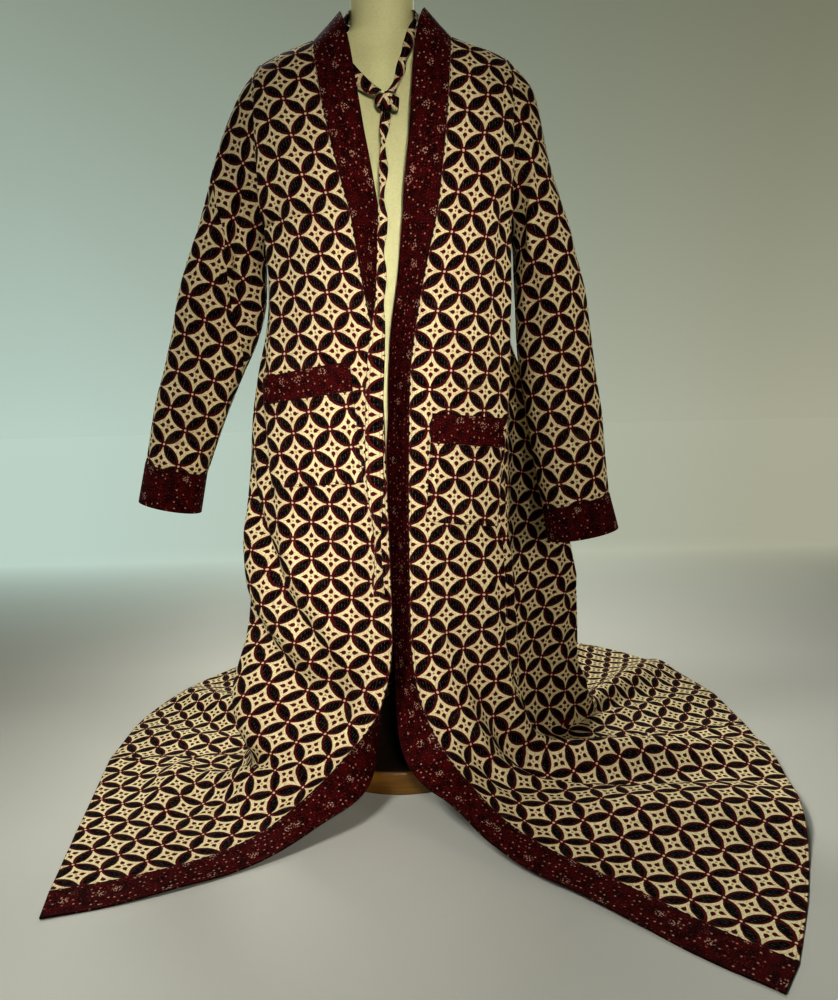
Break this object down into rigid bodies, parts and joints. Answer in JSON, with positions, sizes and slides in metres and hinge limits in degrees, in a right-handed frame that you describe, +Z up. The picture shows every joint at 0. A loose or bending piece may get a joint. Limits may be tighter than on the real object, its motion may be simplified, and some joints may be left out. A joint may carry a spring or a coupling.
{
  "type": "overcoat on dress form",
  "caption": "Floor-length open overcoat of patterned cotton with maroon bands, patch pockets and a belt, worn by a limbless dress form on a round base.",
  "frame": {"origin": "centre of the underside of the dress form's round base, on the floor", "axes": "+Z up, -Y towards the front of the coat, +X to the right as seen from the front"},
  "size_m": [1.2123, 1.3444, 1.33],
  "materials": {
    "batik": "matte cotton",
    "maroon": "matte cotton",
    "form_cover": "satin cream",
    "form_wood": "satin varnish"
  },
  "bodies": {
    "root": {"back": "batik", "front_left": "batik", "front_right": "batik", "sleeve_left": "batik", "sleeve_right": "batik", "cuff_left": "maroon", "cuff_right": "maroon", "band_neck": "maroon", "band_left": "maroon", "band_right": "maroon", "pocket_left": "batik", "pocket_right": "batik", "pocket_band_left": "maroon", "pocket_band_right": "maroon", "belt_loop": "batik", "belt_knot": "batik", "belt_tail": "batik", "form_torso": "form_cover", "form_pole": "form_wood", "form_base": "form_wood"}
  },
  "joints": []
}
